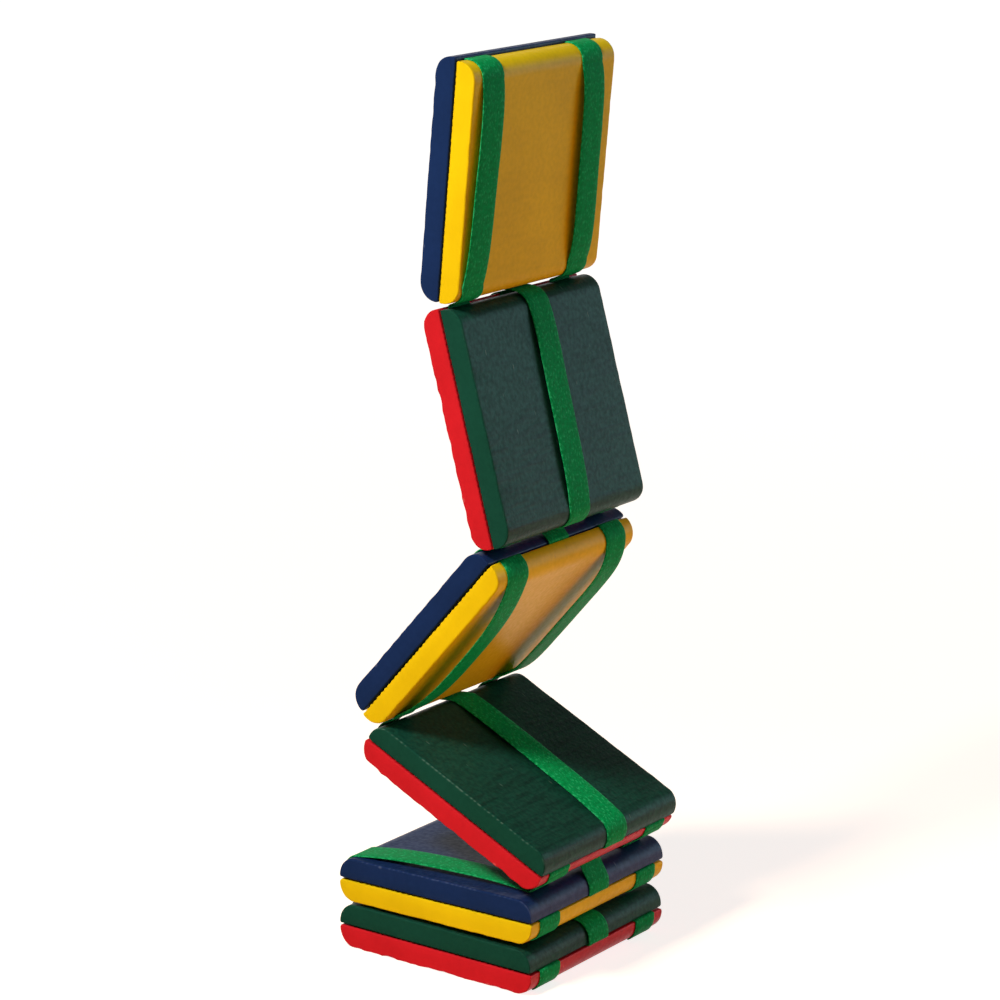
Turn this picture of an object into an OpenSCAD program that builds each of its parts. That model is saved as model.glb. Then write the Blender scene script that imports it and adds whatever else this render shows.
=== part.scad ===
// Jacob's ladder toy: six painted wooden blocks held in a chain by three ribbons.
// Each block is two slats glued face to face, with the ribbons caught in the joint.
// Blocks are counted from the top of the chain, and block 6 lies flat on the table.
// A block's front is its yellow or green slat, and its back the blue or red one.
// At each hinge the ribbons cross between two rounded slat ends, so that one end
// rolls on the other, from folded face to face to straight end to end.
// Origin: middle of the underside of block 6. X runs along that block, Y across it.

/* [Blocks] */
// Length of a block, from its top end to its bottom end
block_length = 54; // [44:0.5:80]
// Width of a block, across the ribbons
block_width = 54; // [44:0.5:80]
// Thickness of each of the two slats of a block
slat_thickness = 5.1; // [4.2:0.1:8]
// Radius of the rounding on the outer corner of a slat's end
end_radius = 4; // [2.5:0.1:6]
// Bevel on the long outer edges of a slat
edge_bevel = 0.4; // [0.1:0.05:0.8]

/* [Ribbons] */
// Width of a ribbon
ribbon_width = 7.6; // [5:0.1:10]
// Thickness of a ribbon
ribbon_thickness = 0.35; // [0.2:0.05:0.6]
// Distance from the side of a block to the edge of the outer ribbon
ribbon_inset = 3.8; // [2:0.1:6]
// Room between a crossing ribbon and the round ends that it bends over
crossing_clearance = 0.05; // [0.03:0.01:0.1]
// Length glued into the joint where a ribbon starts or ends
tail_length = 20; // [10:1:40]
// Height above the table at which the loose tails of the last block are cut off
tail_lift = 0.1; // [0.05:0.05:2]
// Height of the bow in the slack outer ribbons under block 3
slack_bow = 3.5; // [1:0.1:6]

/* [Glue] */
// Distance from the edges of a block to the film of glue in its joint
glue_recess = 2; // [0.5:0.1:3]

/* [Opening angles] */
// Between blocks 1 and 2, with 0 folded and 180 straight
open_12 = 159; // [2:0.5:178]
// Between blocks 2 and 3
open_23 = 123; // [2:0.5:178]
// Between blocks 3 and 4
open_34 = 74.5; // [60:0.5:178]
// Between blocks 4 and 5
open_45 = 26; // [2:0.5:178]
// Between blocks 5 and 6
open_56 = 0.8; // [0.6:0.1:178]

/* [Play of the hinges] */
// Room between the ends of blocks 1 and 2, beyond the thickness of two ribbons
play_12 = 0.05; // [0.05:0.05:5]
// The same between blocks 2 and 3
play_23 = 0.75; // [0.05:0.05:5]
// The same between blocks 3 and 4
play_34 = 0.05; // [0.05:0.05:5]
// The same between blocks 4 and 5
play_45 = 2.5; // [0.05:0.05:5]
// The same between blocks 5 and 6
play_56 = 0.05; // [0.05:0.05:5]

/* [Hidden] */
$fn = 96;
blocks = [1:6];
hinges = [1:5];
last_block = 6;
slack_block = 3;
front = 1;
back = -1;
top = -1;
bottom = 1;
opening = [open_12, open_23, open_34, open_45, open_56];
play = [play_12, play_23, play_34, play_45, play_56];

// A rounding leaves a narrow flat at the joint, however thin the slat
least_end_flat = 0.5;
end_round = min(end_radius, slat_thickness - least_end_flat);
block_thickness = 2 * slat_thickness + ribbon_thickness;
half_length = block_length / 2;
half_thickness = block_thickness / 2;
half_ribbon = ribbon_thickness / 2;
// Where a ribbon that comes out of the joint turns over the end
joint_end = half_length + ribbon_thickness;
// Axis of a rounding, along and through the block from its middle
round_u = half_length - end_round;
round_n = half_thickness - end_round;
outer_track = block_width / 2 - ribbon_inset - ribbon_width / 2;
// Angle of the last round end that the loose tails cover
tail_wrap = asin((end_round - tail_lift) / (end_round + ribbon_thickness));
// Longest step along a bent crossing, in degrees
arc_step = 6;

TRACKS = [["left", -1], ["centre", 0], ["right", 1]];
OUTER_TRACKS = [TRACKS[0], TRACKS[2]];

function odd(k) = k % 2 == 1;
function front_colour(k) = odd(k) ? "yellow" : "green";
function back_colour(k) = odd(k) ? "blue" : "red";
function front_slat_name(k) = str("block_", k, "_", front_colour(k), "_slat");
function back_slat_name(k) = str("block_", k, "_", back_colour(k), "_slat");
function glue_name(k) = str("block_", k, "_glue_film");
function ribbon_name(k, track) = str("block_", k, "_", track[0], "_ribbon");
function crossing_name(h, track) = str("hinge_", h, h + 1, "_", track[0], "_ribbon");
function slack_name(track) = str("block_", slack_block, "_", track[0], "_slack_ribbon");

NODES = [
    for (k = blocks) front_slat_name(k),
    for (k = blocks) back_slat_name(k),
    for (k = blocks) glue_name(k),
    for (k = blocks) for (track = TRACKS) ribbon_name(k, track),
    for (h = hinges) for (track = TRACKS) crossing_name(h, track),
    for (track = OUTER_TRACKS) slack_name(track)
];
node = "all";
function wanted(name) = node == "all" || node == name;

// The chain at rest, built up from block 6, in X and Z

// Side of its blocks on which hinge h folds: odd hinges fold front to front
function fold_side(h) = odd(h) ? front : back;
function turned(p, a) = [p[0] * cos(a) - p[1] * sin(a), p[0] * sin(a) + p[1] * cos(a)];
// Distance between the axes of the two round ends that roll on each other
function axis_distance(h) = 2 * (end_round + ribbon_thickness) + play[h - 1];
// Direction of a block's length, from its top end to its bottom end
function block_angle(k) =
    k == last_block ? 0 : block_angle(k + 1) - fold_side(k) * (180 - opening[k - 1]);
// From the round of the lower block to that of the upper one: halfway through the opening
function roll_direction(h) =
    turned([-sin(opening[h - 1] / 2), fold_side(h) * cos(opening[h - 1] / 2)], block_angle(h + 1));
function round_axis(k, end, side) =
    block_centre(k) + turned([end * round_u, side * round_n], block_angle(k));
function block_centre(k) =
    k == last_block
    ? [0, half_thickness]
    : round_axis(k + 1, top, fold_side(k)) + axis_distance(k) * roll_direction(k)
      - turned([round_u, fold_side(k) * round_n], block_angle(k));

module at_block(k) {
    centre = block_centre(k);
    translate([centre[0], 0, centre[1]])
        rotate([0, -block_angle(k), 0])
            children();
}

// An outline in length and thickness, drawn out across the block
module across(width, shift = 0) {
    translate([0, shift, 0])
        rotate([90, 0, 0])
            linear_extrude(width, center = true)
                children();
}

// A rectangle between two opposite corners
module rectangle(p, q) {
    translate([min(p[0], q[0]), min(p[1], q[1])])
        square([abs(q[0] - p[0]), abs(q[1] - p[1])]);
}

// A ribbon's section bent round an axis, from one angle to another, a quarter turn at most
module ribbon_arc(inner, from, to) {
    reach = 2 * (inner + ribbon_thickness);
    intersection() {
        difference() {
            circle(inner + ribbon_thickness);
            circle(inner);
        }
        polygon([[0, 0], for (a = [from, (from + to) / 2, to]) reach * [cos(a), sin(a)]]);
    }
}

// Slats

// Front slat, seen from the side: flat in the joint, round on its two outer corners
module slat_outline() {
    difference() {
        rectangle([-half_length, half_ribbon], [half_length, half_thickness]);
        for (end = [top, bottom])
            translate([end * round_u, round_n])
                difference() {
                    rectangle([0, 0], [end * 2 * end_round, 2 * end_round]);
                    circle(end_round);
                }
    }
}

// Front slat, seen from its end: bevelled along its two outer edges
module slat_section() {
    half_width = block_width / 2;
    polygon([
        [-half_width, half_ribbon],
        [half_width, half_ribbon],
        [half_width, half_thickness - edge_bevel],
        [half_width - edge_bevel, half_thickness],
        [-half_width + edge_bevel, half_thickness],
        [-half_width, half_thickness - edge_bevel]
    ]);
}

module slat() {
    intersection() {
        across(block_width)
            slat_outline();
        rotate([90, 0, 90])
            linear_extrude(2 * block_length, center = true)
                slat_section();
    }
}

module front_slat(k) {
    color(odd(k) ? "gold" : "darkgreen")
        at_block(k)
            slat();
}

module back_slat(k) {
    color(odd(k) ? "midnightblue" : "crimson")
        at_block(k)
            mirror([0, 0, 1])
                slat();
}

// Glue: a film that fills the joint between the ribbons

module glue_film(k) {
    color("tan")
        at_block(k)
            difference() {
                cube([
                    block_length - 2 * glue_recess,
                    block_width - 2 * glue_recess,
                    ribbon_thickness
                ], center = true);
                for (track = TRACKS)
                    translate([0, track[1] * outer_track, 0])
                        cube([2 * block_length, ribbon_width, 2 * ribbon_thickness], center = true);
            }
}

// Ribbons of a block, as lengths of one section in length and thickness

// Through the joint
module inside_run(from, to) {
    rectangle([from, -half_ribbon], [to, half_ribbon]);
}

// Out of the joint and over the flat of an end, as far as its rounding
module end_turn(end, side) {
    rectangle([end * half_length, -side * half_ribbon], [end * joint_end, side * round_n]);
}

// Over the rounding, from the end towards the face
module round_turn(end, side, cover = 90) {
    from = end == bottom ? 0 : 180;
    to = from + end * side * cover;
    translate([end * round_u, side * round_n])
        ribbon_arc(end_round, min(from, to), max(from, to));
}

// Along a face, between its two roundings
module face_run(side) {
    rectangle([-round_u, side * half_thickness], [round_u, side * (half_thickness + ribbon_thickness)]);
}

// Right round an end, from the joint to the face
module end_wrap(end, side) {
    end_turn(end, side);
    round_turn(end, side);
}

// Odd blocks: down the blue face, up through the joint, and down the yellow face
module outer_ribbon_odd(k) {
    first = k == 1;
    inside_run(-joint_end, first ? tail_length - half_length : joint_end);
    end_wrap(top, front);
    if (k != slack_block)
        face_run(front);
    if (!first) {
        end_wrap(bottom, back);
        face_run(back);
    }
}

// Odd blocks: straight through the joint, from the blue end to the yellow end
module centre_ribbon_odd(k) {
    first = k == 1;
    inside_run(first ? half_length - tail_length : -joint_end, joint_end);
    end_turn(bottom, front);
    if (!first)
        end_turn(top, back);
}

// Even blocks: straight through the joint, from the green end to the red end
module outer_ribbon_even(k) {
    inside_run(-joint_end, joint_end);
    end_turn(top, front);
    end_turn(bottom, back);
    if (k == last_block)
        round_turn(bottom, back, tail_wrap);
}

// Even blocks: down the green face, up through the joint, and down the red face
module centre_ribbon_even(k) {
    last = k == last_block;
    face_run(front);
    end_wrap(bottom, front);
    inside_run(last ? half_length - tail_length : -joint_end, joint_end);
    if (!last) {
        end_wrap(top, back);
        face_run(back);
    }
}

module ribbon_outline(k, centre) {
    if (odd(k)) {
        if (centre)
            centre_ribbon_odd(k);
        else
            outer_ribbon_odd(k);
    } else {
        if (centre)
            centre_ribbon_even(k);
        else
            outer_ribbon_even(k);
    }
}

module block_ribbon(k, track) {
    color("seagreen")
        at_block(k)
            across(ribbon_width, track[1] * outer_track)
                ribbon_outline(k, track[1] == 0);
}

// The outer ribbons hang in a shallow bow below the yellow face of block 3
module slack_ribbon(track) {
    bow_radius = (round_u * round_u + slack_bow * slack_bow) / (2 * slack_bow);
    bow_half_angle = asin(round_u / (bow_radius + ribbon_thickness));
    color("seagreen")
        at_block(slack_block)
            across(ribbon_width, track[1] * outer_track)
                intersection() {
                    translate([0, half_thickness + slack_bow - bow_radius])
                        ribbon_arc(bow_radius, 90 - bow_half_angle, 90 + bow_half_angle);
                    rectangle([-round_u, half_thickness], [round_u, half_thickness + 2 * slack_bow]);
                }
}

// Crossings of a hinge, drawn with the lower round end below the middle and the upper
// one above it, and with the ends of both blocks to the right

// Angles in small steps from one to another, or the one angle if they are the same
function stepped(from, to) =
    let (count = ceil(abs(to - from) / arc_step))
    count == 0 ? [from] : [for (i = [0:count]) from + (to - from) * i / count];

// From the face of the upper block, between the rounds, to the end of the lower block.
// The side of the ribbon that lies on the upper round is the outer one on the lower round.
module crossing_outline(h) {
    half_opening = opening[h - 1] / 2;
    half_distance = axis_distance(h) / 2;
    inner = end_round + crossing_clearance;
    outer = inner + ribbon_thickness;
    radius = inner + half_ribbon;
    upper_axis = [0, half_distance];
    lower_axis = -upper_axis;
    // Angle before the line between the axes at which the ribbon leaves the upper round
    leave = min(half_opening, acos(radius / half_distance));
    leave_point = upper_axis - radius * [sin(leave), cos(leave)];
    // Angle beyond that line at which it lands on the lower round
    way = leave_point - lower_axis;
    land = min(90 - half_opening, atan2(way[0], way[1]) + acos(radius / norm(way)));
    upper_turn = [for (a = stepped(half_opening, leave)) -[sin(a), cos(a)]];
    lower_turn = [for (a = stepped(land, 90 - half_opening)) [sin(a), cos(a)]];
    one_side = [
        for (d = upper_turn) upper_axis + inner * d,
        for (d = lower_turn) lower_axis + outer * d
    ];
    other_side = [
        for (d = upper_turn) upper_axis + outer * d,
        for (d = lower_turn) lower_axis + inner * d
    ];
    polygon([each one_side, for (i = [len(other_side) - 1:-1:0]) other_side[i]]);
}

// A ribbon crosses either from the upper face to the lower end or the other way round
module hinge_ribbon(h, track) {
    outer = track[1] != 0;
    from_upper_face = outer == (fold_side(h) == front);
    color("mediumseagreen")
        at_block(h + 1)
            across(ribbon_width, track[1] * outer_track)
                mirror([0, fold_side(h) == back ? 1 : 0])
                    translate([-round_u, round_n])
                        rotate(opening[h - 1] / 2)
                            mirror([1, 0])
                                translate([0, axis_distance(h) / 2])
                                    mirror([0, from_upper_face ? 0 : 1])
                                        crossing_outline(h);
}

for (k = blocks) {
    if (wanted(front_slat_name(k))) front_slat(k);
    if (wanted(back_slat_name(k))) back_slat(k);
    if (wanted(glue_name(k))) glue_film(k);
    for (track = TRACKS)
        if (wanted(ribbon_name(k, track))) block_ribbon(k, track);
}
for (h = hinges)
    for (track = TRACKS)
        if (wanted(crossing_name(h, track))) hinge_ribbon(h, track);
for (track = OUTER_TRACKS)
    if (wanted(slack_name(track))) slack_ribbon(track);
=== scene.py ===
# %% [markdown]
# # A Jacob's ladder toy
# Six painted wooden blocks hang together on three satin ribbons. Each block is two thin
# slats glued face to face with the ribbons caught between them, and at every hinge the
# ribbons cross from one block to the next, so that one rounded end rolls on the other.
# The lesson loads the toy's measured solids first, as a fixed frame. Then it makes the
# slats and the ribbons again as finer meshes in the same places, and paints them.

# %% Load the frame
import cmath
import math

import bpy
from mathutils import Matrix, Vector, noise


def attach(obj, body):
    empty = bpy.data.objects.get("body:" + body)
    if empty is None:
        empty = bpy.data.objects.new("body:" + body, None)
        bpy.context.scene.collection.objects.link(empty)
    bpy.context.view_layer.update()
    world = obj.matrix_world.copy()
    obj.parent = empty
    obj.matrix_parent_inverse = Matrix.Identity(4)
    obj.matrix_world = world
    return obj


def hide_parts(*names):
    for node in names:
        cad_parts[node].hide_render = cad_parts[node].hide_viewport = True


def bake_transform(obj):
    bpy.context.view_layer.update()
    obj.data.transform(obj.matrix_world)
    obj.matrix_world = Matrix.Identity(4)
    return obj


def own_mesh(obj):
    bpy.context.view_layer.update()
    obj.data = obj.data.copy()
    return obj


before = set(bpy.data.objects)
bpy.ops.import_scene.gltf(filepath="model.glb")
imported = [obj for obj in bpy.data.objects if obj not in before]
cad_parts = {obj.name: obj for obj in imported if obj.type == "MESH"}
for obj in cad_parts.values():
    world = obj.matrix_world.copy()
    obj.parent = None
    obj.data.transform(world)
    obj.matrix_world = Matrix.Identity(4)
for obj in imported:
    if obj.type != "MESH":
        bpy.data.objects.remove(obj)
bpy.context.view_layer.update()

# %% [markdown]
# ## The camera
# The photograph looks at the toy from its right-hand front corner and a little from above.
# A long lens some 80 cm away gives its flat perspective. A Track To constraint could aim
# the camera, but the picture also has the slight roll of a hand-held camera. So the
# camera's axes are worked out one by one and set as a matrix.

# %% Where the camera stands
MM = 0.001
CAMERA_AZIMUTH = math.radians(35.40)
CAMERA_ELEVATION = math.radians(14.33)
CAMERA_ROLL = math.radians(0.62)
CAMERA_DISTANCE = 823.6 * MM
CAMERA_TARGET = Vector((-1.87, -0.08, 105.30)) * MM

back = Vector((
    math.sin(CAMERA_AZIMUTH) * math.cos(CAMERA_ELEVATION),
    -math.cos(CAMERA_AZIMUTH) * math.cos(CAMERA_ELEVATION),
    math.sin(CAMERA_ELEVATION),
))
level_right = Vector((0, 0, 1)).cross(back).normalized()
level_up = back.cross(level_right)
right = math.cos(CAMERA_ROLL) * level_right + math.sin(CAMERA_ROLL) * level_up
up = back.cross(right)
camera_place = CAMERA_TARGET + CAMERA_DISTANCE * back
print("camera at", [round(x, 3) for x in camera_place])

# %% Place the camera
SENSOR_WIDTH = 36.0
# The focal length in sensor widths
LENS_RATIO = 3.6215
FOCAL_LENGTH = SENSOR_WIDTH * LENS_RATIO
CLIP_START = 0.01

camera = bpy.data.objects.new("camera", bpy.data.cameras.new("camera"))
bpy.context.collection.objects.link(camera)
camera.data.sensor_width = SENSOR_WIDTH
camera.data.lens = FOCAL_LENGTH
camera.data.clip_start = CLIP_START
camera_axes = Matrix((right, up, back)).transposed().to_4x4()
camera.matrix_world = Matrix.Translation(camera_place) @ camera_axes
bpy.context.scene.camera = camera
print("lens:", round(FOCAL_LENGTH), "mm")

# %% [markdown]
# ## The chain of blocks
# Block 6 lies on the table, and each block above it is turned about the hinge below by
# that hinge's opening angle: 0 is folded flat and 180 is straight. Empties, parented one to
# the next, could do this, but all of it happens in the plane of X and Z. There a complex
# number makes a good point: multiplying it by a unit number turns it. A block has a length
# direction u, from its top end to its bottom end, and a front direction n, out of its
# yellow or green face.

# %% Sizes of the toy
# Lengths are in mm from here on, and MM makes them metres where a mesh is built
BLOCK_LENGTH = 54.0
BLOCK_WIDTH = 54.0
SLAT_THICKNESS = 5.1
END_RADIUS = 4.0
RIBBON_WIDTH = 7.6
RIBBON_THICKNESS = 0.35
RIBBON_INSET = 3.8

HALF_LENGTH = BLOCK_LENGTH / 2
HALF_WIDTH = BLOCK_WIDTH / 2
HALF_RIBBON = RIBBON_THICKNESS / 2
HALF_THICKNESS = SLAT_THICKNESS + HALF_RIBBON
print("block:", BLOCK_LENGTH, "x", BLOCK_WIDTH, "x", round(2 * HALF_THICKNESS, 2), "mm")

# %% Rounded ends and ribbon tracks
FRONT, BACK = 1, -1
TOP, BOTTOM = -1, 1
# The centre of an end's rounding, from the middle of the block
ROUND_U = HALF_LENGTH - END_RADIUS
ROUND_N = HALF_THICKNESS - END_RADIUS
OUTER_TRACK = HALF_WIDTH - RIBBON_INSET - RIBBON_WIDTH / 2
TRACKS = {"left": -OUTER_TRACK, "centre": 0.0, "right": OUTER_TRACK}
print("ribbon tracks at", [round(y, 2) for y in TRACKS.values()], "mm")

# %% Lay out the chain
BLOCKS = (1, 2, 3, 4, 5, 6)
HINGES = (1, 2, 3, 4, 5)
OPENING = {1: 159.0, 2: 123.0, 3: 74.5, 4: 26.0, 5: 0.8}
# Room at a hinge beyond the two ribbons that lie between the blocks there
PLAY = {1: 0.05, 2: 0.75, 3: 0.05, 4: 2.5, 5: 0.05}


def fold_side(hinge):
    """The side on which the two blocks of a hinge close."""
    return FRONT if hinge % 2 else BACK


direction = {6: 1 + 0j}
middle = {6: 1j * HALF_THICKNESS}
lower_axis, upper_axis = {}, {}
for hinge in reversed(HINGES):
    below, side = hinge + 1, fold_side(hinge)
    half_opening = math.radians(OPENING[hinge]) / 2
    reach = 2 * (END_RADIUS + RIBBON_THICKNESS) + PLAY[hinge]
    roll = complex(-math.sin(half_opening), side * math.cos(half_opening))
    lower_axis[hinge] = middle[below] + direction[below] * complex(-ROUND_U, side * ROUND_N)
    upper_axis[hinge] = lower_axis[hinge] + reach * roll * direction[below]
    direction[hinge] = direction[below] * cmath.rect(1, side * (2 * half_opening - math.pi))
    middle[hinge] = upper_axis[hinge] - direction[hinge] * complex(ROUND_U, side * ROUND_N)
print("top of the chain at", round(middle[1].imag + HALF_LENGTH, 1), "mm")

# %% From a block to the world
def block_matrix(block):
    u, place = direction[block], middle[block] * MM
    return Matrix((
        (u.real, 0, -u.imag, place.real),
        (0, 1, 0, 0),
        (u.imag, 0, u.real, place.imag),
        (0, 0, 0, 1),
    ))


print("middle of block 1 at", [round(x, 3) for x in block_matrix(1).translation], "m")

# %% [markdown]
# ## Materials: a small kit
# Colours are written as the sRGB values that a paint chart gives. Blender's shaders work in
# linear light, so one function converts them. Another adds a node to a material, with its
# settings and its links, so that each finish below reads as a list of what it is made of.
# Some nodes, such as Mix, have several sockets of one name, so these go by number.

# %% Colours in linear light
def linear(hex_colour):
    values = [int(hex_colour[i:i + 2], 16) / 255 for i in (1, 3, 5)]
    return tuple(
        v / 12.92 if v <= 0.04045 else ((v + 0.055) / 1.055) ** 2.4 for v in values
    ) + (1.0,)


print("mid grey is", round(linear("#808080")[0], 3), "in linear light")

# %% Adding a node
def add_node(tree, kind, settings=None, **inputs):
    """Adds a node. settings are its properties. inputs are its sockets, by name with _ for
    a space, or by number after a _."""
    node = tree.nodes.new(kind)
    for name, value in (settings or {}).items():
        setattr(node, name, value)
    for name, value in inputs.items():
        number = name[1:]
        socket = node.inputs[int(number) if number.isdigit() else name.replace("_", " ")]
        if isinstance(value, bpy.types.NodeSocket):
            tree.links.new(value, socket)
        else:
            socket.default_value = value
    return node


# The two ways in which the finishes below mix colours
TINT = {"data_type": "RGBA"}
DARKEN = {"data_type": "RGBA", "blend_type": "MULTIPLY"}
print("a Mix node tints with", TINT, "and darkens with", DARKEN)

# %% Starting and finishing a material
def new_material(name):
    material = bpy.data.materials.new(name)
    material.use_nodes = True
    material.node_tree.nodes.clear()
    return material, material.node_tree


def finish_material(tree, shader):
    add_node(tree, "ShaderNodeOutputMaterial", Surface=shader.outputs[0])


print("materials that came with the frame:", len(bpy.data.materials))

# %% [markdown]
# ## Enamel on sawn wood
# The slats are strips of close-grained wood with rounded edges, planed on their faces and
# sawn to length, and then painted with enamel in yellow, blue, red or green. The grain
# therefore runs across the block. It could be modelled as grooves, but lines this fine are
# cheaper as bump and colour in the paint. All four paints are one recipe with another
# pigment and two finishes: the planed faces keep a soft gloss, and the sawn sides, which
# soak the paint up, dry matt.

# %% Paint colours
PAINTS = {"yellow": "#F3C80C", "blue": "#182E58", "red": "#D61F27", "green": "#164837"}
# Pale bare wood where paint is rubbed off, also the colour of the glints painted along the edges
WORN_AND_GLINT = {"yellow": "#B98A32", "blue": "#7F8CA8", "red": "#E7A79B", "green": "#86A08C"}
print("paints:", ", ".join(PAINTS))

# %% What shows through the paint
# A pale thick coat hides the grain, and a thin dark one lets it through
GRAIN_SHOWS = {"yellow": 0.08, "blue": 0.30, "red": 0.12, "green": 0.65}
# A smooth yellow coat hides the orange peel too, and the specks of shade painted in its dimples
PEEL_AND_SPECKS_SHOW = {"yellow": 0.15, "blue": 0.5, "red": 0.3, "green": 0.65}
# The thicker paint on the sawn sides leaves little of either
PATTERN_LEFT = {"planed": 1.0, "sawn": 0.2}
print("the grain shows most in", max(GRAIN_SHOWS, key=GRAIN_SHOWS.get))

# %% [markdown]
# ### Patterns
# Three noises make the pattern. The grain is stretched across the block. Its pores are a
# tenth of a millimetre wide, too fine for this picture, so it is drawn as streaks 1 mm
# apart. Orange peel is the dimpling that enamel dries with, about 1 mm across. Patches of
# 20 mm are where the brush left a thin coat, and there the grain shows more. An image could
# give all this, but noise has no seams and needs no file. It uses the object's own
# coordinates, so its scales come from these sizes. Noise lies mostly between 0.3 and 0.7,
# and a Map Range node picks the part of that range which shows.

# %% Patterns in the paint
GRAIN_SPACING = 1.0 * MM
GRAIN_LENGTH = 9 * MM
PEEL_SIZE = 1.1 * MM
PATCH_SIZE = 20 * MM


def paint_patterns(tree, place):
    """The noises of the grain, the orange peel and the patches."""
    streaks = (1 / GRAIN_SPACING, 1 / GRAIN_LENGTH, 1 / GRAIN_SPACING)
    grain_place = add_node(tree, "ShaderNodeMapping", Vector=place, Scale=streaks).outputs[0]
    grain = add_node(
        tree, "ShaderNodeTexNoise", Vector=grain_place, Scale=1.0, Detail=1.0, Roughness=0.5
    )
    peel = add_node(
        tree, "ShaderNodeTexNoise",
        Vector=place, Scale=1 / PEEL_SIZE, Detail=2.0, Roughness=0.55,
    )
    patch = add_node(
        tree, "ShaderNodeTexNoise", Vector=place, Scale=1 / PATCH_SIZE, Detail=3.0
    )
    return [node.outputs["Fac"] for node in (grain, peel, patch)]


print("across a block:", round(BLOCK_LENGTH * MM / GRAIN_SPACING), "streaks of grain")

# %% Colour of the coat
# What is left of the paint's colour in a thin coat, in a pore, and in a speck of shade painted in a
# dimple
THIN_COAT = "#F3F1EE"
PORE_AND_SPECK_SHADE = "#B3B3B8"


def coat_colour(tree, colour, patch, pore, painted_speck):
    """The paint, darker where it is thin and in the pores, with specks of shade painted in the
    dimples for their speckled sheen.
    """
    thin = add_node(
        tree, "ShaderNodeMapRange", Value=patch, From_Min=0.35, From_Max=0.65
    ).outputs[0]
    coat = add_node(
        tree, "ShaderNodeMix", DARKEN,
        _0=thin, _6=linear(PAINTS[colour]), _7=linear(THIN_COAT),
    ).outputs[2]
    grained = add_node(
        tree, "ShaderNodeMix", DARKEN, _0=pore, _6=coat, _7=linear(PORE_AND_SPECK_SHADE)
    ).outputs[2]
    return add_node(
        tree, "ShaderNodeMix", DARKEN, _0=painted_speck, _6=grained, _7=linear(PORE_AND_SPECK_SHADE)
    ).outputs[2]


print("a pore keeps", round(linear(PORE_AND_SPECK_SHADE)[0], 2), "of the paint's red light")

# %% [markdown]
# ### Wear and painted glints
# Hands rub the paint off the corners, and the blocks scratch each other as they tumble. The
# mesh says where a corner is rubbed, in an attribute called edge. The same attribute also carries
# pale glints, painted where the saw steps along an edge would catch the light. Scratches could be
# drawn one by one, but the middles of long Voronoi cells give short strokes at random places.

# %% Wear and painted edge glints
SCRATCH_SPACING = 11.0 * MM
SCRATCH_NARROWS = 4.0
SCRATCH_TURN = 0.6
SCRATCH_SHOWS = 0.25


def wear_and_glint_share(tree, place):
    """How much of the paint is gone to rubbing and scratches, plus the pale glints painted along
    the saw steps of the edges, from 0 to 1.
    """
    edge = add_node(tree, "ShaderNodeAttribute", {"attribute_name": "edge"}).outputs["Fac"]
    cells = (1 / SCRATCH_SPACING, SCRATCH_NARROWS / SCRATCH_SPACING, 1 / SCRATCH_SPACING)
    scratch_place = add_node(
        tree, "ShaderNodeMapping", Vector=place, Rotation=(0, 0, SCRATCH_TURN), Scale=cells
    ).outputs[0]
    from_stroke = add_node(
        tree, "ShaderNodeTexVoronoi", Vector=scratch_place, Scale=1.0
    ).outputs["Distance"]
    scratches = add_node(
        tree, "ShaderNodeMapRange",
        Value=from_stroke, From_Min=0.04, From_Max=0.07, To_Min=SCRATCH_SHOWS, To_Max=0.0,
    ).outputs[0]
    return add_node(
        tree, "ShaderNodeMath", {"operation": "MAXIMUM"}, _0=edge, _1=scratches
    ).outputs[0]


print("a scratch about every", round(SCRATCH_SPACING / MM), "mm")

# %% [markdown]
# ### The whole finish
# The shader takes the colour, the relief and the shine from the patterns. Enamel has an IOR
# of about 1.5. The grain and the dimples break up its gloss, so even the faces reflect less
# than a smooth coat would, and the thin green coat least of all.

# %% Relief of the paint
GRAIN_DEPTH = 0.15 * MM
PEEL_DEPTH = 0.12 * MM


def paint_relief(tree, ridges, grain_shows, peel, peel_and_specks_show):
    """The ridges of the grain with the orange peel on top."""
    grain_bump = add_node(
        tree, "ShaderNodeBump", Strength=grain_shows, Distance=GRAIN_DEPTH, Height=ridges
    ).outputs[0]
    return add_node(
        tree, "ShaderNodeBump",
        Strength=peel_and_specks_show, Distance=PEEL_DEPTH, Height=peel, Normal=grain_bump,
    ).outputs[0]


print("relief up to", round((GRAIN_DEPTH + PEEL_DEPTH) / MM, 2), "mm deep")

# %% Enamel
PAINT_IOR = 1.5
# The level of the gloss, where 0.5 is a smooth coat, and each colour's share of it
GLOSS = {"planed": 0.15, "sawn": 0.04}
GLOSS_LEFT = {"yellow": 0.7, "blue": 0.9, "red": 1.0, "green": 0.55}
ROUGHNESS = {"planed": 0.40, "sawn": 0.65}
SHINE_VARIES = 0.06
# How much of the grain still shows between the thin patches
LEAST_GRAIN = 0.2


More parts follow.
